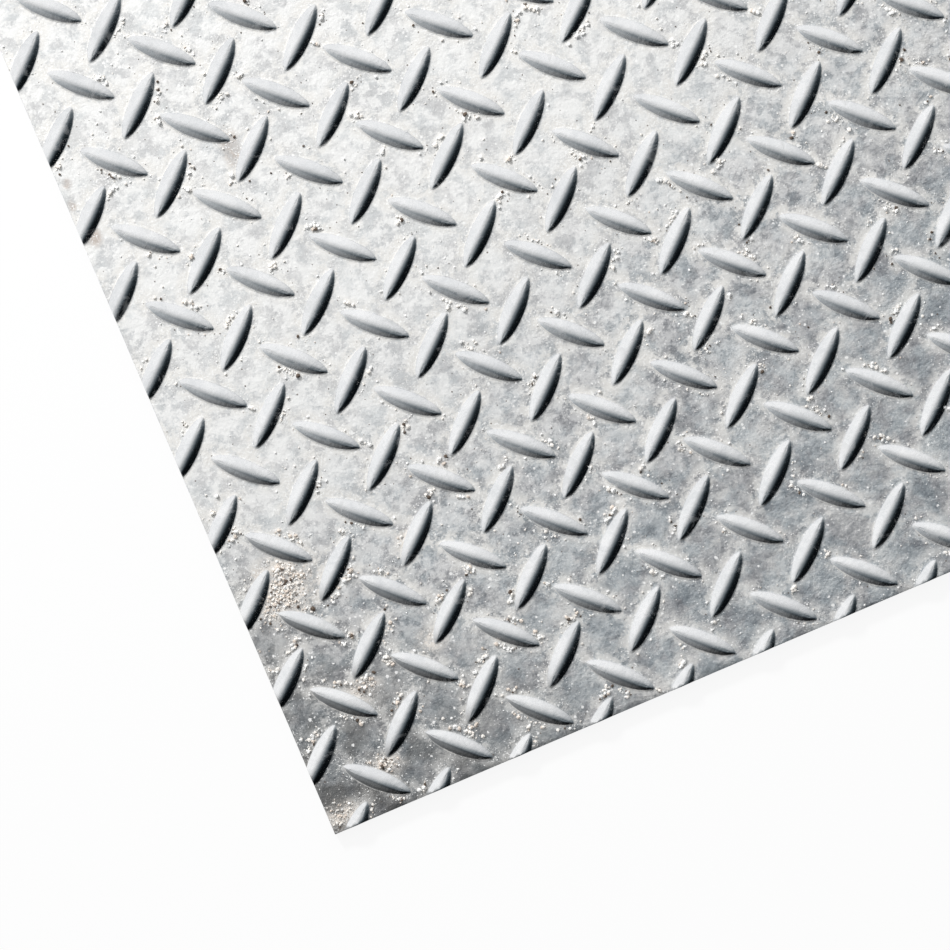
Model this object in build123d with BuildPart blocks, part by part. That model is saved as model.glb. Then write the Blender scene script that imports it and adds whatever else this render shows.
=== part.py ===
from build123d import *
from math import atan2, ceil, cos, degrees, sin, sqrt
import os

# Sheet, in millimetres: X runs along the rolling direction and +Z out of the tread side
SHEET_LENGTH = 500.0
SHEET_WIDTH = 500.0
PLAIN_THICKNESS = 5.0

# Raised lug: a lens in plan, with sloping flanks and a narrow flat crest
LUG_LENGTH = 33.5
LUG_WIDTH = 9.5
LUG_CREST_WIDTH = 4.0
LUG_HEIGHT = 2.0

# Corners along one flank of a lug, from a tip, as shares of half its length
flank_corner_shares = (1.0, 0.5, 0.17, -0.17, -0.5)

# Lug pattern: rows of lugs that lean one way alternate with rows that lean the other way
PITCH_LENGTHWISE = 40.0
PITCH_CROSSWISE = 38.0

# First lug inside the corner where the left and front edges meet, as shares of a pitch from those edges
first_from_left_share = 0.185
first_from_front_share = 0.911

# Each lug lies along the diagonal of its cell of the pattern
lug_lean = atan2(PITCH_CROSSWISE, PITCH_LENGTHWISE)
lug_reach_x = LUG_LENGTH / 2 * cos(lug_lean)
lug_reach_y = LUG_LENGTH / 2 * sin(lug_lean)
flank_width = (LUG_WIDTH - LUG_CREST_WIDTH) / 2
flank_taper = degrees(atan2(flank_width, LUG_HEIGHT))
total_thickness = PLAIN_THICKNESS + LUG_HEIGHT

# Grid of cells that reaches past every edge, so that the edges cut through lugs
columns = ceil(SHEET_LENGTH / PITCH_LENGTHWISE) + 1
rows = ceil(SHEET_WIDTH / PITCH_CROSSWISE) + 1
first_x = first_from_left_share * PITCH_LENGTHWISE - SHEET_LENGTH / 2
first_y = first_from_front_share * PITCH_CROSSWISE - SHEET_WIDTH / 2


def lug_foot():
    """Corners of a lug's foot: short straight sides along the two arcs of a lens, tip to tip and back."""
    radius = (LUG_LENGTH**2 + LUG_WIDTH**2) / (4 * LUG_WIDTH)
    centre_depth = radius - LUG_WIDTH / 2
    along = [share * LUG_LENGTH / 2 for share in flank_corner_shares]
    one_flank = [(x, sqrt(radius**2 - x**2) - centre_depth) for x in along]
    return one_flank + [(-x, -y) for x, y in one_flank]


def lug_places(start_x, start_y, lean):
    """Places of one family of lugs: those of its grid that touch the sheet, each turned to its lean."""
    places = []
    for column in range(-1, columns):
        for row in range(-1, rows):
            x = start_x + column * PITCH_LENGTHWISE
            y = start_y + row * PITCH_CROSSWISE
            if abs(x) < SHEET_LENGTH / 2 + lug_reach_x and abs(y) < SHEET_WIDTH / 2 + lug_reach_y:
                places.append(Location((x, y, 0), degrees(lean)))
    return places


with BuildPart() as checker_plate:
    # Both families of lugs, on the tread side of the sheet
    with BuildSketch(Plane.XY.offset(PLAIN_THICKNESS)):
        with Locations(lug_places(first_x, first_y, lug_lean)):
            Polygon(*lug_foot(), align=None)
        with Locations(lug_places(first_x + PITCH_LENGTHWISE / 2, first_y + PITCH_CROSSWISE / 2, -lug_lean)):
            Polygon(*lug_foot(), align=None)
    extrude(amount=LUG_HEIGHT, taper=flank_taper, clean=False)

    # The sheared edges cut the lugs flush
    with BuildSketch() as outline:
        Rectangle(SHEET_LENGTH, SHEET_WIDTH)
    extrude(amount=total_thickness, mode=Mode.INTERSECT, clean=False)

    # The plain sheet, in one with its lugs
    extrude(outline.sketch, amount=PLAIN_THICKNESS, clean=False)

checker_plate.part.label = "checker_plate"
os.makedirs("parts", exist_ok=True)
export_step(checker_plate.part, "parts/checker_plate.step")
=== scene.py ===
import math
import random

import bmesh
import bpy
from mathutils import Euler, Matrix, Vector, noise
from mathutils.geometry import delaunay_2d_cdt


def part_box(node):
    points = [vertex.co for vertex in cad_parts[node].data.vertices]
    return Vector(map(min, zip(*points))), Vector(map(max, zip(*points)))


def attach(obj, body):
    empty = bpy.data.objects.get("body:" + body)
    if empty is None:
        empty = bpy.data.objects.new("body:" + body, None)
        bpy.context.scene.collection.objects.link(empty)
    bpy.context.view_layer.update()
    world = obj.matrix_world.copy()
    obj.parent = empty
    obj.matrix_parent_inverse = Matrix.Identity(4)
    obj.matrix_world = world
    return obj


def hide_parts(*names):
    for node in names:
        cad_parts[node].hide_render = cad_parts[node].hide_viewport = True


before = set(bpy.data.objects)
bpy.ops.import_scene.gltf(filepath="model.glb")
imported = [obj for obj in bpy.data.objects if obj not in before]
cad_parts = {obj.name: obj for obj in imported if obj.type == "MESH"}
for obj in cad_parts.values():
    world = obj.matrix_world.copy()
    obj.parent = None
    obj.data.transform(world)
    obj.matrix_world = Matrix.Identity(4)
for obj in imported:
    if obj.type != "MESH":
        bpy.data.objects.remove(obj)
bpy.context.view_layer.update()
scene = bpy.context.scene
MM = 0.001
PLATE_SEED, GRIT_SEED = 11, 23

# Sheet and lug pattern. Lengths are in millimetres in the plate's own frame, unless a comment says otherwise.
PLATE_LOW, PLATE_HIGH = (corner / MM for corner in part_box("checker_plate"))
PLAIN_TOP = 5.0
LUG_LENGTH, LUG_WIDTH, LUG_HEIGHT = 33.5, 9.5, 2.0
PITCH_X, PITCH_Y = 40.0, 38.0
FIRST_SHARE_X, FIRST_SHARE_Y = 0.185, 0.911
FIRST_X = PLATE_LOW.x + FIRST_SHARE_X * PITCH_X
FIRST_Y = PLATE_LOW.y + FIRST_SHARE_Y * PITCH_Y
LEAN = math.atan2(PITCH_Y, PITCH_X)
LUG_FAMILIES = ((0.0, LEAN), (0.5, -LEAN))
CELLS = range(-2, 15)

# Spread that rolling leaves: place, turn in degrees, size and height as shares; and the wave of the flats
PLACE_SPREAD, TURN_SPREAD = 0.3, 1
SIZE_RANGE, HEIGHT_RANGE = (0.975, 1.01), (0.93, 1.0)
WAVE_DEPTH, WAVE_SPACING, WAVE_LAYER = 0.05, 60, 3.0

# Mesh of one lug: its plan, and a section with a round crest, arched lengthwise and set to one side by family
OUTLINE_POINTS = 28
TIP_POWER = 1.2
SPINE_SHARE = 0.76
CREST_ARCH = 0.5
CREST_ROUND_SHARE = 0.6
CREST_SHIFTS = (-0.4, -0.7)
RING_SHARES = (1.0, 0.82, 0.64, 0.48, 0.32, 0.16)
FOOT_LIFT = 0.10
FOOT_FILLET = 0.55
FOOT_APRON = 0.45

# Mesh of the flats: step of its points, where in a step a point may lie, and how far it goes past the sheet
FLAT_STEP, FLAT_JITTER = 6.0, (0.2, 0.8)
FLAT_OVERHANG, OVERHANG_STEPS = 26.0, 3
SHARP_ANGLE = math.radians(48)
NO_LUG = -1

# Sheared sides: rolled-over lip in two bends, level where the clean cut ends, and bevel of the lower edge
LIP, TEAR_LEVEL, LOWER_BEVEL = 0.35, 3.1, 0.3
LIP_BENDS = ((0.75, 0.3), (0.25, 1.0))

# Camera, from the photograph: straight above, with the rolling direction turned in the frame. Height in metres.
PIXELS_PER_MM = 2.2064
FRAME_PIXELS = 950
IMAGE_TURN = math.radians(23.12)
VIEW_CENTRE = Vector((-127.7, -125.0, PLAIN_TOP)) * MM
CAMERA_HEIGHT = 2.2
SENSOR_MM = 36.0

# Colours of the metal by tone, and of what lies on it
ZINC_WARM = ((0.40, (0.35, 0.353, 0.377)), (0.5, (0.635, 0.635, 0.648)), (0.60, (0.98, 0.965, 0.945)))
ZINC_COOL = ((0.40, (0.335, 0.374, 0.41)), (0.5, (0.61, 0.655, 0.685)), (0.60, (0.95, 0.975, 0.98)))
LUG_METAL = ((0.38, (0.76, 0.775, 0.79)), (0.62, (0.945, 0.95, 0.955)))
CUT_METAL = ((0.3, (0.39, 0.385, 0.38)), (0.7, (0.72, 0.72, 0.72)))
TORN_METAL = ((0.3, (0.22, 0.195, 0.175)), (0.7, (0.44, 0.40, 0.37)))
# Near-black that darkens the flats toward the front left corner and paints shade on front left flanks
DARKENING = (0.15, 0.145, 0.14)
# Pale dust colours; the film's fade toward the front and the rims' shift toward the lit side also carry painted
# light
DUST_FILM_AND_LIGHT, RIM_DUST_AND_BOUNCE = (0.90, 0.895, 0.88), (0.84, 0.82, 0.785)
STAIN_BROWN, BED_SAND = (0.46, 0.37, 0.31), (0.85, 0.795, 0.735)
CREAM, CHALK = (0.92, 0.88, 0.83), (0.94, 0.935, 0.92)
TAN, SOOT = (0.78, 0.69, 0.61), (0.12, 0.09, 0.07)
GRAIN_SPECKLE = (0.46, 0.40, 0.35)

# Heights between which the material changes: onto the tread, a lug, its crest; over a foot; below the clean cut
TREAD_RISE, LUG_RISE, CREST_RISE = (4.4, 4.75), (5.01, 5.22), (6.25, 6.8)
FOOT_RISE, FOOT_FALL = (4.97, 5.04), (5.15, 5.5)
TORN_FALL = (3.2, 4.2)

# Where the darkening, the painted flank shade and the dust fade: by distance from the front left corner, x plus
# y, and by distance from the front
DIRTY_REACH = 190.0
CORNER_DARKENING_FADE, FLANK_SHADE_FADE = (20.0, DIRTY_REACH), (80.0, 260.0)
FROM_FRONT = (-0.42, 0.91)
# Film and rims thin toward the front: partly dust, partly a painted light gradient, paler toward the back
FILM_LIGHT_FADE, RIM_LIGHT_FADE = (-230.0, 40.0), (-225.0, -60.0)

# Pale rims: reach as shares of a lug's own, and their shift toward the lit side, which paints bounce light
# there. Way that flanks with drifts and painted shade face.
RIM_REACH = (1.0, 1.95)
BOUNCE_SHIFT_X, BOUNCE_SHIFT_Y = 0.5, -1.4
FRONT_LEFT = (-0.69, -0.72)

# Brown stains and thin beds of sand on the tread: centre x, centre y, reach along x, reach along y
STAINS = ((-171.0, 54.0, 7.0, 13.0), (-244.0, 42.0, 5.0, 7.0), (-248.0, 59.0, 3.0, 4.0),
          (-246.0, 69.0, 3.0, 3.5), (-236.0, -134.0, 5.0, 11.0))
SAND_BEDS = ((-226.0, -137.0, 25.0, 22.0), (-212.0, -194.0, 12.0, 8.0), (-216.0, -231.0, 12.0, 9.0),
             (-243.0, -243.0, 12.0, 10.0), (-176.0, -186.0, 10.0, 8.0), (-166.0, -140.0, 9.0, 9.0))

# Grit in patches along the lean of a lug: centre x and y, reach, stretch, number of grains, share of tan ones
GRIT_PATCHES = ((-228.5, -138.5, 9.0, 1.9, 1000, 0.35), (-217.0, -230.5, 5.0, 1.2, 130, 0.35),
                (-211.5, -193.5, 5.0, 1.2, 120, 0.3), (22.0, -197.0, 3.2, 1.2, 60, 0.1),
                (-243.0, -243.0, 7.0, 1.0, 120, 0.4), (-9.0, -112.0, 6.0, 1.0, 60, 0.1))

# Grit elsewhere: scattered in clumps, by waves given as share, spacing and layer; along the feet of the lugs;
# and in clusters beside them, by mean and spread
SCATTERED_GRAINS = 4500
CLUMP_WAVES, CLUMP_LEVEL, CLUMP_SPREAD = ((1.0, 30, 8.0), (0.8, 9, 5.0)), 0.1, 0.5
FOOT_GRAINS, FOOT_GRAIN_REACH = 16, (0.4, 2.2)
DIRTY_CLUSTERS, CLEAN_CLUSTER_CHANCE = (2, 5), 0.9
CLUSTER_GRAINS, CLUSTER_OUT, CLUSTER_ALONG = (8, 32), (0.4, 1.5), (0, 2.6)
CLEAN_TAN, DIRTY_TAN, CREAM_SHARE, SOOT_SHARE = 0.05, 0.2, 0.45, 0.10

# Width of grains: the smallest, what a draw adds at most, and the power of the draw
SCATTER_WIDTH, FOOT_WIDTH = (0.55, 0.8, 2), (0.6, 1.3, 2)
CLUSTER_WIDTH, PATCH_WIDTH = (0.7, 2.0, 2), (0.45, 1.5, 4)

# Shape of grains: tilt in radians, depth and height as shares of the width, rise of the centre, uneven corners
GRAIN_TILT, GRAIN_DEPTH, GRAIN_HEIGHT, GRAIN_RISE = 0.4, (0.65, 1.0), (0.5, 0.8), 0.36
GRAIN_CORNER, GRAIN_SHADE = (0.8, 1.12), (0.92, 1.06)


def lug_sites():
    """Centre and lean of every lug that touches the sheet."""
    sites = []
    reach = LUG_LENGTH / 2
    for shift, lean in LUG_FAMILIES:
        for column in CELLS:
            for row in CELLS:
                x = FIRST_X + (column + shift) * PITCH_X
                y = FIRST_Y + (row + shift) * PITCH_Y
                if (PLATE_LOW.x - reach < x < PLATE_HIGH.x + reach
                        and PLATE_LOW.y - reach < y < PLATE_HIGH.y + reach):
                    sites.append((x, y, lean))
    return sites


def rolled_lugs(draw):
    """Every lug as centre x, centre y, lean, size and height, with the small spread that rolling leaves."""
    return [(x + draw.uniform(-PLACE_SPREAD, PLACE_SPREAD), y + draw.uniform(-PLACE_SPREAD, PLACE_SPREAD),
             lean + math.radians(draw.uniform(-TURN_SPREAD, TURN_SPREAD)),
             draw.uniform(*SIZE_RANGE), draw.uniform(*HEIGHT_RANGE)) for x, y, lean in lug_sites()]


def lug_outline():
    """Foot of a lug about its own centre, with the outward direction at each point."""
    plain = []
    for k in range(OUTLINE_POINTS):
        angle = 2 * math.pi * k / OUTLINE_POINTS
        across = math.copysign(abs(math.sin(angle)) ** TIP_POWER, math.sin(angle))
        plain.append(Vector((LUG_LENGTH / 2 * math.cos(angle), LUG_WIDTH / 2 * across)))
    outline = []
    for k, point in enumerate(plain):
        along = plain[(k + 1) % OUTLINE_POINTS] - plain[k - 1]
        outline.append((point, Vector((along.y, -along.x)).normalized()))
    return outline


def crown(share):
    """Drop below the crest at a share of the way out to the foot, from 0 to 1."""
    straight = 1 - CREST_ROUND_SHARE / 2
    if share < CREST_ROUND_SHARE:
        return share * share / (2 * CREST_ROUND_SHARE) / straight
    return (share - CREST_ROUND_SHARE / 2) / straight


def lug_rings():
    """Rings of one lug about its own centre, from the flat around its foot upward, and the crest line."""
    outline = lug_outline()
    rings = []
    for spread in (FOOT_FILLET + FOOT_APRON, FOOT_FILLET):
        rings.append([(*(point + outward * spread), 0.0) for point, outward in outline])
    heights = [LUG_HEIGHT * (1 - CREST_ARCH * (2 * point.x / LUG_LENGTH) ** 2) for point, _ in outline]
    for share in RING_SHARES:
        ring = []
        for (point, _), top in zip(outline, heights):
            spine = Vector((point.x * SPINE_SHARE, 0.0))
            lift = FOOT_LIFT + (top - FOOT_LIFT) * (1 - crown(share))
            ring.append((*(spine + (point - spine) * share), lift))
        rings.append(ring)
    crest = [(outline[k][0].x * SPINE_SHARE, 0.0, heights[k]) for k in range(OUTLINE_POINTS // 2 + 1)]
    return rings, crest


def wave(x, y, spacing, layer):
    """Smooth noise over the sheet, about -1 to 1. Each layer is a pattern of its own."""
    return noise.noise(Vector((x / spacing, y / spacing, layer)))


def flat_height(x, y):
    """Height of the slightly wavy flat between the lugs."""
    return PLAIN_TOP + WAVE_DEPTH * (wave(x, y, WAVE_SPACING, WAVE_LAYER) - 1)


def place_on_lug(lug, local):
    """Point given in a lug's own axes, moved to that lug on the sheet."""
    x, y, turn, grow, rise = lug
    c, s = math.cos(turn), math.sin(turn)
    across = local[1] + CREST_SHIFTS[turn < 0] * local[2] / LUG_HEIGHT
    px = x + (local[0] * c - across * s) * grow
    py = y + (local[0] * s + across * c) * grow
    return px, py, flat_height(px, py) + local[2] * rise


def clear_of_lugs(lugs, x, y, margin):
    """Whether a point lies outside every lug's foot by about the margin."""
    near = LUG_LENGTH / 2 + margin
    for lx, ly, turn, grow, _ in lugs:
        if abs(x - lx) < near and abs(y - ly) < near:
            c, s = math.cos(turn), math.sin(turn)
            along = ((x - lx) * c + (y - ly) * s) / (LUG_LENGTH / 2 * grow + margin)
            across = (-(x - lx) * s + (y - ly) * c) / (LUG_WIDTH / 2 * grow + margin)
            if along * along + across * across < 1.0:
                return False
    return True


def loop_edges(first, count):
    """Edges of a closed loop of points that starts at an index."""
    return [(first + k, first + (k + 1) % count) for k in range(count)]


def ring_faces(below, above):
    """Faces between two rings of points."""
    faces = []
    for k in range(OUTLINE_POINTS):
        n = (k + 1) % OUTLINE_POINTS
        faces.append((below[k], below[n], above[n], above[k]))
    return faces


def tread_surface(lugs, draw):
    """Points and faces of the tread side, flats and lugs, which reaches past every edge of the sheet."""
    rings, crest = lug_rings()

    # Flat between the lugs: a triangulation that follows each lug's foot
    points, edges, owner = [], [], []
    for index, lug in enumerate(lugs):
        edges += loop_edges(len(points), OUTLINE_POINTS)
        points += [Vector(place_on_lug(lug, local)[:2]) for local in rings[0]]
        owner += [index] * OUTLINE_POINTS
    left, right = PLATE_LOW.x - FLAT_OVERHANG, PLATE_HIGH.x + FLAT_OVERHANG
    front, back = PLATE_LOW.y - FLAT_OVERHANG, PLATE_HIGH.y + FLAT_OVERHANG
    corners = ((left, front), (right, front), (right, back), (left, back))
    edges += loop_edges(len(points), len(corners))
    points += [Vector(corner) for corner in corners]
    grid_count = int((PLATE_HIGH.x - PLATE_LOW.x) / FLAT_STEP) + 2 * OVERHANG_STEPS
    for i in range(grid_count):
        for j in range(grid_count):
            x = PLATE_LOW.x + (i - OVERHANG_STEPS + draw.uniform(*FLAT_JITTER)) * FLAT_STEP
            y = PLATE_LOW.y + (j - OVERHANG_STEPS + draw.uniform(*FLAT_JITTER)) * FLAT_STEP
            if clear_of_lugs(lugs, x, y, FOOT_FILLET + 2 * FOOT_APRON):
                points.append(Vector((x, y)))
    inside_only, merge_distance = 1, 1e-5
    flat_points, _, flat_faces, origins, _, _ = delaunay_2d_cdt(points, edges, [], inside_only, merge_distance)
    lug_of = [owner[o[0]] if o and o[0] < len(owner) else NO_LUG for o in origins]
    index_of = {o[0]: i for i, o in enumerate(origins) if o}
    verts = [(p.x, p.y, flat_height(p.x, p.y)) for p in flat_points]
    faces = []
    for face in flat_faces:
        touched = {lug_of[v] for v in face}
        if len(touched) > 1 or NO_LUG in touched:
            faces.append(tuple(face))

    # Lugs: rings from the foot up to the crest line, which both flanks share
    half = OUTLINE_POINTS // 2
    for index, lug in enumerate(lugs):
        below = [index_of[index * OUTLINE_POINTS + k] for k in range(OUTLINE_POINTS)]
        for ring in rings[1:]:
            start = len(verts)
            verts += [place_on_lug(lug, local) for local in ring]
            above = list(range(start, start + OUTLINE_POINTS))
            faces += ring_faces(below, above)
            below = above
        start = len(verts)
        verts += [place_on_lug(lug, local) for local in crest]
        above = [start + (k if k <= half else OUTLINE_POINTS - k) for k in range(OUTLINE_POINTS)]
        faces += ring_faces(below, above)
    return verts, faces


def shear_edges(bm):
    """Cuts the tread side to the sheet and adds the lip, the cut face, its lower edge and the underside."""
    lip = LIP * MM
    low, high = PLATE_LOW * MM, PLATE_HIGH * MM
    for axis in (0, 1):
        for side, limit in ((-1, low[axis] + lip), (1, high[axis] - lip)):
            co, no = Vector((0, 0, 0)), Vector((0, 0, 0))
            co[axis], no[axis] = limit, side
            bmesh.ops.bisect_plane(bm, geom=bm.verts[:] + bm.edges[:] + bm.faces[:], dist=1e-7,
                                   plane_co=co, plane_no=no, clear_outer=True)
    limits = [[low.x + lip, low.y + lip], [high.x - lip, high.y - lip]]
    on_limit = 2e-6

    def drop(edge_ring, outward, new_z):
        """Extrudes a ring of edges outward and to a new height. Gives the new ring."""
        made = bmesh.ops.extrude_edge_only(bm, edges=edge_ring)["geom"]
        for v in (item for item in made if isinstance(item, bmesh.types.BMVert)):
            for axis in (0, 1):
                if abs(v.co[axis] - limits[0][axis]) < on_limit:
                    v.co[axis] -= outward
                elif abs(v.co[axis] - limits[1][axis]) < on_limit:
                    v.co[axis] += outward
            v.co.z = new_z(v.co.z)
        for axis in (0, 1):
            limits[0][axis] -= outward
            limits[1][axis] += outward
        return [item for item in made if isinstance(item, bmesh.types.BMEdge)]

    rim = [e for e in bm.edges if e.is_boundary]
    for out_share, drop_share in LIP_BENDS:
        rim = drop(rim, lip * out_share, lambda z: z - lip * drop_share)
    for outward, level in ((0.0, TEAR_LEVEL), (0.0, LOWER_BEVEL), (-LOWER_BEVEL, 0.0)):
        rim = drop(rim, outward * MM, lambda z: level * MM)
    bmesh.ops.contextual_create(bm, geom=rim)
    for v in bm.verts:
        for axis in (0, 1):
            v.co[axis] = min(max(v.co[axis], low[axis]), high[axis])


def plate_mesh(lugs, draw):
    """The tread side cut to the sheet, with sheared sides and the underside."""
    verts, faces = tread_surface(lugs, draw)
    mesh = bpy.data.meshes.new("checker_plate_tread")
    mesh.from_pydata([Vector(v) * MM for v in verts], [], faces)
    bm = bmesh.new()
    bm.from_mesh(mesh)
    bmesh.ops.recalc_face_normals(bm, faces=bm.faces)
    if sum(f.normal.z for f in bm.faces) < 0:
        bmesh.ops.reverse_faces(bm, faces=bm.faces)
    shear_edges(bm)
    bmesh.ops.recalc_face_normals(bm, faces=bm.faces)
    for f in bm.faces:
        f.smooth = True
    bm.to_mesh(mesh)
    bm.free()
    mesh.set_sharp_from_angle(angle=SHARP_ANGLE)
    return mesh


class Graph:
    """Short calls for building the nodes of a material or world. Arguments are numbers or output sockets."""

    def __init__(self, owner):
        owner.use_nodes = True
        self.owner = owner
        self.nodes, self.links = owner.node_tree.nodes, owner.node_tree.links
        self.shader = self.nodes.get("Principled BSDF")

    def put(self, value, socket):
        if isinstance(value, bpy.types.NodeSocket):
            self.links.new(value, socket)
        else:
            socket.default_value = value

    def shade(self, name, value):
        self.put(value, self.shader.inputs[name])

    def math(self, operation, *values):
        node = self.nodes.new("ShaderNodeMath")
        node.operation = operation
        for value, socket in zip(values, node.inputs):
            self.put(value, socket)
        return node.outputs[0]

    def line(self, value, slope, offset):
        """Value times slope plus offset."""
        return self.math("MULTIPLY_ADD", value, slope, offset)

    def inverse(self, value):
        """What is missing from 1."""
        return self.math("SUBTRACT", 1.0, value)

    def times(self, *values):
        """Product of all values."""
        result = values[0]
        for value in values[1:]:
            result = self.math("MULTIPLY", result, value)
        return result

    def most(self, *values):
        """Largest of all values."""
        result = values[0]
        for value in values[1:]:
            result = self.math("MAXIMUM", result, value)
        return result

    def length(self, first, second):
        """Length of a line that goes this far along one axis and that far along the other."""
        return self.math("SQRT", self.math("ADD", self.times(first, first), self.times(second, second)))

    def blend(self, share, first, second):
        """Number between two numbers."""
        node = self.nodes.new("ShaderNodeMix")
        for value, socket in zip((share, first, second), node.inputs[:1] + node.inputs[2:4]):
            self.put(value, socket)
        return node.outputs[0]

    def mix(self, share, first, second):
        """Colour between two colours."""
        node = self.nodes.new("ShaderNodeMix")
        node.data_type = "RGBA"
        for value, socket in zip((share, first, second), node.inputs[:1] + node.inputs[6:8]):
            self.put((*value, 1.0) if isinstance(value, tuple) else value, socket)
        return node.outputs[2]

    def step(self, value, low, high, to_low=0.0, to_high=1.0, kind="SMOOTHSTEP"):
        """Goes from to_low at low to to_high at high, smoothly or by another kind, and stays there outside."""
        node = self.nodes.new("ShaderNodeMapRange")
        node.interpolation_type = kind
        for number, socket in zip((value, low, high, to_low, to_high), node.inputs):
            self.put(number, socket)
        return node.outputs[0]

    def vector(self, operation, first, second, output=0):
        node = self.nodes.new("ShaderNodeVectorMath")
        node.operation = operation
        self.put(first, node.inputs[0])
        self.put(second, node.inputs[1])
        return node.outputs[output]

    def split(self, vector):
        node = self.nodes.new("ShaderNodeSeparateXYZ")
        self.put(vector, node.inputs[0])
        return node.outputs

    def place(self):
        """Place on the object in millimetres."""
        metres = self.nodes.new("ShaderNodeTexCoord").outputs["Object"]
        return self.vector("MULTIPLY", metres, (1 / MM, 1 / MM, 1 / MM))

    def noise(self, place, size, detail=3.0, roughness=0.5, distortion=0.0):
        """Noise with features of about the given size in the units of place; mean 0.5."""
        node = self.nodes.new("ShaderNodeTexNoise")
        self.put(place, node.inputs["Vector"])
        for name, value in (("Scale", 1 / size), ("Detail", detail), ("Roughness", roughness),
                            ("Distortion", distortion)):
            node.inputs[name].default_value = value
        return node.outputs["Fac"]

    def dots(self, place, ragged, spacing, reach, reach_spread, chance):
        """Dots on scattered points: 1 inside a dot. Reach is a share of the spacing, times the ragged value."""
        node = self.nodes.new("ShaderNodeTexVoronoi")
        self.put(place, node.inputs["Vector"])
        node.inputs["Scale"].default_value = 1 / spacing
        draws = self.nodes.new("ShaderNodeSeparateColor")
        self.links.new(node.outputs["Color"], draws.inputs[0])
        limit = self.line(draws.outputs[0], reach_spread, reach)
        inside = self.math("LESS_THAN", node.outputs["Distance"], self.times(limit, ragged))
        return self.times(inside, self.math("LESS_THAN", draws.outputs[1], chance))

    def ramp(self, value, stops):
        node = self.nodes.new("ShaderNodeValToRGB")
        self.put(value, node.inputs[0])
        band = node.color_ramp
        while len(band.elements) < len(stops):
            band.elements.new(0.5)
        for element, (position, colour) in zip(band.elements, stops):
            element.position, element.color = position, (*colour, 1.0)
        return node.outputs[0]

    def bump(self, height, depth, strength):
        """Relief on the surface, with its depth in metres."""
        node = self.nodes.new("ShaderNodeBump")
        node.inputs["Distance"].default_value = depth
        self.put(strength, node.inputs["Strength"])
        self.put(height, node.inputs["Height"])
        self.links.new(node.outputs[0], self.shader.inputs["Normal"])


def lug_distance(g, x, y):
    """Distance from the nearest lug's centre as a share of its reach that way: 1 about at its foot."""
    reaches = []
    for shift, lean in LUG_FAMILIES:
        offsets = []
        for value, first, pitch in ((x, FIRST_X, PITCH_X), (y, FIRST_Y, PITCH_Y)):
            cell = g.line(value, 1 / pitch, 0.5 - first / pitch - shift)
            offsets.append(g.line(g.math("FRACT", cell), pitch, -pitch / 2))
        dx, dy = offsets
        c, s = math.cos(lean), math.sin(lean)
        shares = []
        for from_x, from_y, half in ((c, s, LUG_LENGTH / 2), (-s, c, LUG_WIDTH / 2)):
            shares.append(g.line(dx, from_x / half, g.times(dy, from_y / half)))
        reaches.append(g.length(*shares))
    return g.math("MINIMUM", *reaches)


def place_mask(g, places, x, y):
    """Soft round patches at places given as centre x, centre y, reach along x and reach along y."""
    patches = []
    for centre_x, centre_y, reach_x, reach_y in places:
        across = g.line(x, 1 / reach_x, -centre_x / reach_x)
        along = g.line(y, 1 / reach_y, -centre_y / reach_y)
        patches.append(g.step(g.length(across, along), 0.25, 1.0, 1.0, 0.0))
    return g.most(*patches)


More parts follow.
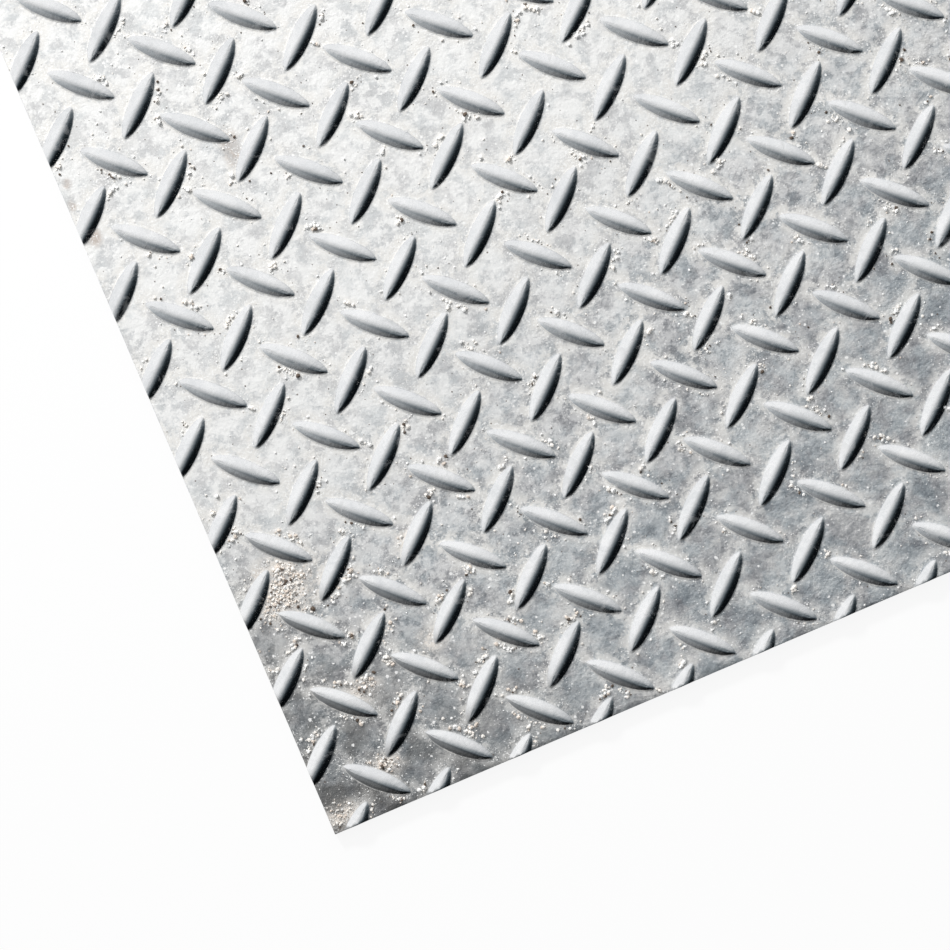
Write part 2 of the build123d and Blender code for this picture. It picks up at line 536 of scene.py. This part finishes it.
def steel_material():
    """Weathered zinc-coated steel: mottled flats with dust, cleaner lugs, raw sheared sides; the dust carries
    painted light, some flanks painted shade.
    """
    g = Graph(bpy.data.materials.new("weathered_zinc_steel"))
    mm = g.place()
    x, y, z = g.split(mm)
    facing_x, facing_y, facing_up = g.split(g.nodes.new("ShaderNodeNewGeometry").outputs["Normal"])

    tread = g.step(z, *TREAD_RISE)
    lug = g.step(z, *LUG_RISE)
    crest = g.step(z, *CREST_RISE)
    flat = g.times(tread, g.inverse(lug))
    # Distance from a point shifted toward the lit side, so the rims are wider there: painted bounce light
    around = lug_distance(g, g.math("ADD", x, BOUNCE_SHIFT_X), g.math("ADD", y, BOUNCE_SHIFT_Y))
    halo_and_bounce = g.times(flat, g.step(around, *RIM_REACH, 1.0, 0.0))
    side = g.times(g.inverse(tread), g.step(g.math("ABSOLUTE", facing_up), 0.6, 0.4))
    front_left = g.line(facing_x, FRONT_LEFT[0], g.times(facing_y, FRONT_LEFT[1]))
    from_corner = g.math("ADD", g.math("SUBTRACT", x, PLATE_LOW.x), g.math("SUBTRACT", y, PLATE_LOW.y))
    from_front = g.line(x, FROM_FRONT[0], g.times(y, FROM_FRONT[1]))

    # Metal: patches of two tints, mottled
    patches = g.noise(mm, size=15.0, detail=2.0)
    mottle = g.noise(mm, size=8.0, detail=4.0, roughness=0.68, distortion=0.6)
    grain = g.noise(mm, size=1.1, detail=2.0, roughness=0.65)
    tint = g.noise(mm, size=11.0, detail=3.0, roughness=0.6)
    tone = g.line(patches, 0.34, g.line(mottle, 0.46, g.times(grain, 0.20)))
    zinc = g.mix(g.step(tint, 0.38, 0.62), g.ramp(tone, ZINC_WARM), g.ramp(tone, ZINC_COOL))
    colour = g.mix(lug, zinc, g.ramp(tone, LUG_METAL))

    # Flats darker in blotches toward the front left corner
    corner_darkening = g.times(flat, g.step(from_corner, *CORNER_DARKENING_FADE, 0.8, 0.0), g.step(patches, 0.35, 0.6, 0.55, 1.1))
    colour = g.mix(corner_darkening, colour, DARKENING)

    # Dust: a broken film that thins toward the front; the thinning is partly dust and partly a painted light
    # gradient, paler toward the back
    cover = g.step(g.noise(mm, size=6.5, detail=5.0, roughness=0.72), 0.43, 0.55)
    thick_film_and_light = g.times(flat, g.step(from_front, *FILM_LIGHT_FADE), g.inverse(corner_darkening))
    level = g.step(facing_up, 0.93, 0.99, 0.6, 1.0)
    film_and_light = g.times(thick_film_and_light, level, g.blend(cover, g.step(thick_film_and_light, 0.5, 1.0, 0.15, 0.64), 0.97))
    colour = g.mix(film_and_light, colour, DUST_FILM_AND_LIGHT)

    # Painted shade on the lug flanks that face front left, away from the light, near the front left corner
    flank_shade = g.times(lug, g.step(front_left, 0.03, 0.2), g.step(from_corner, *FLANK_SHADE_FADE, 0.6, 0.0))
    colour = g.mix(flank_shade, colour, DARKENING)

    # Pale rims of dust around the lugs, shifted toward the lit side as painted bounce light and thinning toward
    # the front as a painted light gradient, with drifts on one side, then stains and sand beds
    kept = g.times(g.step(from_front, *RIM_LIGHT_FADE, 0.65, 1.0), g.line(corner_darkening, -0.6, 1.0))
    foot = g.times(g.step(z, *FOOT_RISE), g.step(z, *FOOT_FALL, 1.0, 0.0))
    drift = g.times(g.step(front_left, 0.1, 0.4), foot, g.blend(cover, 0.45, 0.95))
    rim = g.most(g.times(halo_and_bounce, level, kept, g.blend(cover, 0.15, 0.9)), drift)
    colour = g.mix(rim, colour, RIM_DUST_AND_BOUNCE)
    stain = g.times(flat, place_mask(g, STAINS, x, y), g.blend(cover, 0.35, 0.7))
    colour = g.mix(stain, colour, STAIN_BROWN)
    bed = g.times(flat, place_mask(g, SAND_BEDS, x, y), g.blend(cover, 0.4, 0.95))
    colour = g.mix(bed, colour, BED_SAND)
    # Dust cover, including the painted light gradient and the painted bounce light in the film and rims
    dust_and_light = g.most(film_and_light, rim, bed, stain)

    # Fine sand and soot: specks and flakes in clumps, and crumbs of dried dust, thickest near the lugs
    crumb_noise = g.noise(mm, size=0.8, detail=1.0, roughness=0.6)
    crumb_level = g.line(g.most(halo_and_bounce, bed), -0.07, g.blend(film_and_light, 0.695, 0.63))
    crumbs = g.step(g.math("SUBTRACT", crumb_noise, crumb_level), 0.0, 0.05)
    ragged = g.math("ADD", crumb_noise, 0.5)
    clump = g.step(g.noise(mm, size=9.0, detail=2.0), 0.52, 0.66, 0.01, 0.45)
    specks = g.dots(mm, ragged, spacing=2.3, reach=0.08, reach_spread=0.22, chance=g.line(dust_and_light, 0.3, clump))
    flakes = g.dots(mm, ragged, spacing=4.5, reach=0.08, reach_spread=0.17, chance=g.times(clump, 0.6))
    smuts = g.dots(mm, ragged, spacing=3.6, reach=0.025, reach_spread=0.09, chance=g.line(dust_and_light, 0.5, 0.12))
    sand = g.times(flat, g.most(specks, flakes, crumbs))
    soot = g.times(flat, smuts)
    colour = g.mix(g.times(sand, 0.95), colour, CHALK)
    colour = g.mix(g.times(soot, 0.85), colour, SOOT)

    # Sheared sides: bright cut above, torn metal below, with streaks straight down
    streaks = g.noise(g.vector("MULTIPLY", mm, (1.0, 1.0, 0.12)), size=0.7, detail=2.0, roughness=0.6)
    torn = g.step(g.line(streaks, 1.2, z), *TORN_FALL, 1.0, 0.0)
    cut = g.mix(torn, g.ramp(streaks, CUT_METAL), g.ramp(streaks, TORN_METAL))
    g.shade("Base Color", g.mix(side, colour, cut))

    loose = g.most(dust_and_light, sand, soot)
    bare = g.blend(lug, 0.85, 1.0)
    g.shade("Metallic", g.times(bare, g.line(loose, -0.9, 1.0)))
    scuffed = g.step(mottle, 0.54, 0.68, 0.19, 0.42)
    worn = g.blend(lug, g.line(mottle, 0.2, 0.32), scuffed)
    g.shade("Roughness", g.blend(side, g.line(loose, 0.25, worn), g.blend(torn, 0.35, 0.6)))

    pits = g.noise(mm, size=3.0, detail=3.0, roughness=0.6)
    relief = g.blend(side, g.line(pits, 0.78, g.times(grain, 0.22)), g.times(streaks, 1.2))
    g.bump(relief, depth=0.0005, strength=g.blend(lug, 0.85, g.blend(crest, 0.28, 0.10)))
    return g.owner


def grit_grains(lugs, draw):
    """Centre x, centre y, width and colour of every grain."""
    grains = []

    def some_width(smallest, more, power):
        return smallest + more * draw.random() ** power

    def add(x, y, width, tan_share):
        inside = (PLATE_LOW.x + width < x < PLATE_HIGH.x - width
                  and PLATE_LOW.y + width < y < PLATE_HIGH.y - width)
        pick, dark = draw.random(), draw.random()
        if inside and clear_of_lugs(lugs, x, y, width / 2):
            tone = TAN if pick < tan_share else CREAM if pick < tan_share + CREAM_SHARE else CHALK
            grains.append((x, y, width, SOOT if dark < SOOT_SHARE else tone))

    for _ in range(SCATTERED_GRAINS):
        x, y = draw.uniform(PLATE_LOW.x, PLATE_HIGH.x), draw.uniform(PLATE_LOW.y, PLATE_HIGH.y)
        clump = sum(share * wave(x, y, spacing, layer) for share, spacing, layer in CLUMP_WAVES)
        width = some_width(*SCATTER_WIDTH)
        if clump + draw.uniform(-CLUMP_SPREAD, CLUMP_SPREAD) > CLUMP_LEVEL:
            add(x, y, width, CLEAN_TAN)
    outline = lug_outline()
    for lug in lugs:
        for _ in range(int(FOOT_GRAINS * draw.random() ** 2)):
            point, outward = outline[draw.randrange(OUTLINE_POINTS)]
            x, y, _ = place_on_lug(lug, (*(point + outward * draw.uniform(*FOOT_GRAIN_REACH)), 0.0))
            add(x, y, some_width(*FOOT_WIDTH), CLEAN_TAN)
        dirty = lug[0] - PLATE_LOW.x + lug[1] - PLATE_LOW.y < DIRTY_REACH
        for _ in range(draw.randrange(*DIRTY_CLUSTERS) if dirty else draw.random() < CLEAN_CLUSTER_CHANCE):
            point, outward = outline[draw.randrange(OUTLINE_POINTS)]
            for _ in range(draw.randrange(*CLUSTER_GRAINS)):
                out = outward * abs(draw.gauss(*CLUSTER_OUT))
                along = Vector((draw.gauss(*CLUSTER_ALONG), 0.0))
                x, y, _ = place_on_lug(lug, (*(point + out + along), 0.0))
                add(x, y, some_width(*CLUSTER_WIDTH), DIRTY_TAN if dirty else CLEAN_TAN)
    c, s = math.cos(LEAN), math.sin(LEAN)
    for centre_x, centre_y, reach, stretch, count, tan_share in GRIT_PATCHES:
        for _ in range(count):
            along, across = draw.gauss(0, reach * stretch / 2), draw.gauss(0, reach / 2)
            x, y = centre_x + along * c - across * s, centre_y + along * s + across * c
            add(x, y, some_width(*PATCH_WIDTH), tan_share)
    return grains


def grit_mesh(lugs, draw):
    """Grains of sand and stone dust, each an uneven many-sided lump resting on the flat."""
    bm = bmesh.new()
    bmesh.ops.create_icosphere(bm, subdivisions=1, radius=0.5)
    lump = [v.co.copy() for v in bm.verts]
    lump_faces = [tuple(v.index for v in f.verts) for f in bm.faces]
    bm.free()
    verts, faces, tones = [], [], []
    for x, y, width, tone in grit_grains(lugs, draw):
        turn = Euler((draw.uniform(-GRAIN_TILT, GRAIN_TILT), draw.uniform(-GRAIN_TILT, GRAIN_TILT),
                      draw.uniform(0, math.tau))).to_matrix()
        size = Vector((1.0, draw.uniform(*GRAIN_DEPTH), draw.uniform(*GRAIN_HEIGHT))) * width
        centre = Vector((x, y, flat_height(x, y) + GRAIN_RISE * size.z))
        shade = draw.uniform(*GRAIN_SHADE)
        start = len(verts)
        for corner in lump:
            rough = corner * draw.uniform(*GRAIN_CORNER)
            verts.append((centre + turn @ Vector(a * b for a, b in zip(rough, size))) * MM)
            tones += [min(1.0, channel * shade) for channel in tone] + [1.0]
        faces += [tuple(start + k for k in face) for face in lump_faces]
    mesh = bpy.data.meshes.new("sand_grit")
    mesh.from_pydata(verts, [], faces)
    mesh.color_attributes.new("grain_tone", "FLOAT_COLOR", "POINT").data.foreach_set("color", tones)
    return mesh


def grit_material():
    """Dry sand: each grain's own tone with a little mottling."""
    g = Graph(bpy.data.materials.new("dry_sand"))
    tone = g.nodes.new("ShaderNodeAttribute")
    tone.attribute_name = "grain_tone"
    speckle = g.noise(g.place(), size=0.25, detail=2.0)
    mottled = g.step(speckle, 0.45, 0.75, 0.0, 0.15)
    g.shade("Base Color", g.mix(mottled, tone.outputs["Color"], GRAIN_SPECKLE))
    g.shade("Roughness", g.line(speckle, 0.2, 0.7))
    g.bump(speckle, depth=0.00008, strength=0.6)
    return g.owner


def add_piece(name, mesh, material):
    """A piece of the object that rides with the plate."""
    piece = bpy.data.objects.new(name, mesh)
    mesh.materials.append(material)
    scene.collection.objects.link(piece)
    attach(piece, "root")
    return piece


draw = random.Random(PLATE_SEED)
lugs = rolled_lugs(draw)
plate = add_piece("tread_plate", plate_mesh(lugs, draw), steel_material())
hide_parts("checker_plate")
add_piece("sand_grit", grit_mesh(lugs, random.Random(GRIT_SEED)), grit_material())

# Stage, in metres: white paper just below the plate, which shows as nearly white and keeps the shadow
FLOOR_REACH, FLOOR_LEVEL = 60.0, -0.0003
PAPER_GLOW = 0.9
floor_mesh = bpy.data.meshes.new("floor")
floor_corners = ((-1, -1), (1, -1), (1, 1), (-1, 1))
floor_mesh.from_pydata([(FLOOR_REACH * i, FLOOR_REACH * j, 0) for i, j in floor_corners], [], [(0, 1, 2, 3)])
floor = bpy.data.objects.new("floor", floor_mesh)
floor.location.z = FLOOR_LEVEL
scene.collection.objects.link(floor)
paper = Graph(bpy.data.materials.new("white_paper"))
paper.shade("Base Color", (0.9, 0.9, 0.9, 1.0))
paper.shade("Roughness", 0.9)
path = paper.nodes.new("ShaderNodeLightPath").outputs
seen = paper.most(path["Is Camera Ray"], path["Is Glossy Ray"], path["Is Transmission Ray"])
glow = paper.nodes.new("ShaderNodeEmission")
backdrop = paper.nodes.new("ShaderNodeMixShader")
paper.put(paper.times(seen, PAPER_GLOW), backdrop.inputs[0])
paper.put(paper.shader.outputs[0], backdrop.inputs[1])
paper.put(glow.outputs[0], backdrop.inputs[2])
paper.put(backdrop.outputs[0], paper.nodes["Material Output"].inputs["Surface"])
floor_mesh.materials.append(paper.owner)

# Light: a soft dome, bright on the far side of the plate and dark on the near side, dimmer low down
DOME_AZIMUTH = math.radians(100)
DOME_STRENGTH = 1.0
DOME_STOPS = ((0.165, (0.001, 0.002, 0.003)), (0.225, (0.012, 0.018, 0.022)), (0.285, (0.045, 0.057, 0.066)),
              (0.35, (0.12, 0.14, 0.155)), (0.40, (0.17, 0.193, 0.208)), (0.45, (0.27, 0.29, 0.303)),
              (0.50, (0.42, 0.437, 0.448)), (0.535, (0.53, 0.543, 0.55)), (0.575, (0.645, 0.652, 0.655)),
              (0.645, (0.80, 0.80, 0.80)), (0.69, (0.92, 0.92, 0.92)), (0.735, (1.0, 1.0, 1.0)))
FILL_WAY, FILL_LIGHT = (-0.814, -0.296, 0.5), 0.28
HORIZON_LIGHT = 0.18
scene.world = bpy.data.worlds.new("studio")
sky = Graph(scene.world)
direction = sky.nodes.new("ShaderNodeTexCoord").outputs["Generated"]


def toward(target):
    """How far a direction turns to a target direction: 1 at it and -1 opposite it."""
    return sky.vector("DOT_PRODUCT", direction, Vector(target).normalized(), "Value")


side_on = toward((math.cos(DOME_AZIMUTH), math.sin(DOME_AZIMUTH), 0.0))
height = toward((0.0, 0.0, 1.0))
dome = sky.ramp(sky.step(side_on, -1.0, 1.0, 0.0, 1.0, kind="LINEAR"), DOME_STOPS)
fill = sky.step(toward(FILL_WAY), 0.72, 1.0, 0.0, FILL_LIGHT)
dome_light = sky.vector("ADD", dome, fill)
dome_light = sky.vector("MULTIPLY", dome_light, sky.step(height, 0.05, 0.45, 0.25, 1.0))
dome_light = sky.vector("MAXIMUM", dome_light, sky.step(height, 0.03, 0.14, HORIZON_LIGHT, 0.0))
background = sky.nodes["Background"].inputs
sky.put(dome_light, background["Color"])
sky.put(DOME_STRENGTH, background["Strength"])

# Key, in metres: a softbox that lights the dust and grit, and isn't mirrored in the metal
KEY_AZIMUTH, KEY_ELEVATION, KEY_DISTANCE = math.radians(108), math.radians(34), 1.7
KEY_SIZE, KEY_POWER = 0.25, 28.5
key_way = Vector((math.cos(KEY_AZIMUTH) * math.cos(KEY_ELEVATION),
                  math.sin(KEY_AZIMUTH) * math.cos(KEY_ELEVATION), math.sin(KEY_ELEVATION)))
key_data = bpy.data.lights.new("key_softbox", "AREA")
key_data.shape = "SQUARE"
key_data.size = KEY_SIZE
key_data.energy = KEY_POWER
key = bpy.data.objects.new("key_softbox", key_data)
key.location = key_way * KEY_DISTANCE
key.rotation_euler = (-key_way).to_track_quat("-Z", "Y").to_euler()
key.visible_camera = False
key.visible_glossy = False
scene.collection.objects.link(key)

# Camera
camera_data = bpy.data.cameras.new("camera")
camera_data.sensor_width = SENSOR_MM
frame_width = FRAME_PIXELS / PIXELS_PER_MM * MM
camera_data.lens = SENSOR_MM * CAMERA_HEIGHT / frame_width
camera = bpy.data.objects.new("camera", camera_data)
camera.location = VIEW_CENTRE + Vector((0, 0, CAMERA_HEIGHT))
camera.rotation_euler = (0, 0, -IMAGE_TURN)
scene.collection.objects.link(camera)
scene.camera = camera
scene.view_settings.view_transform = "Standard"

bpy.context.view_layer.update()
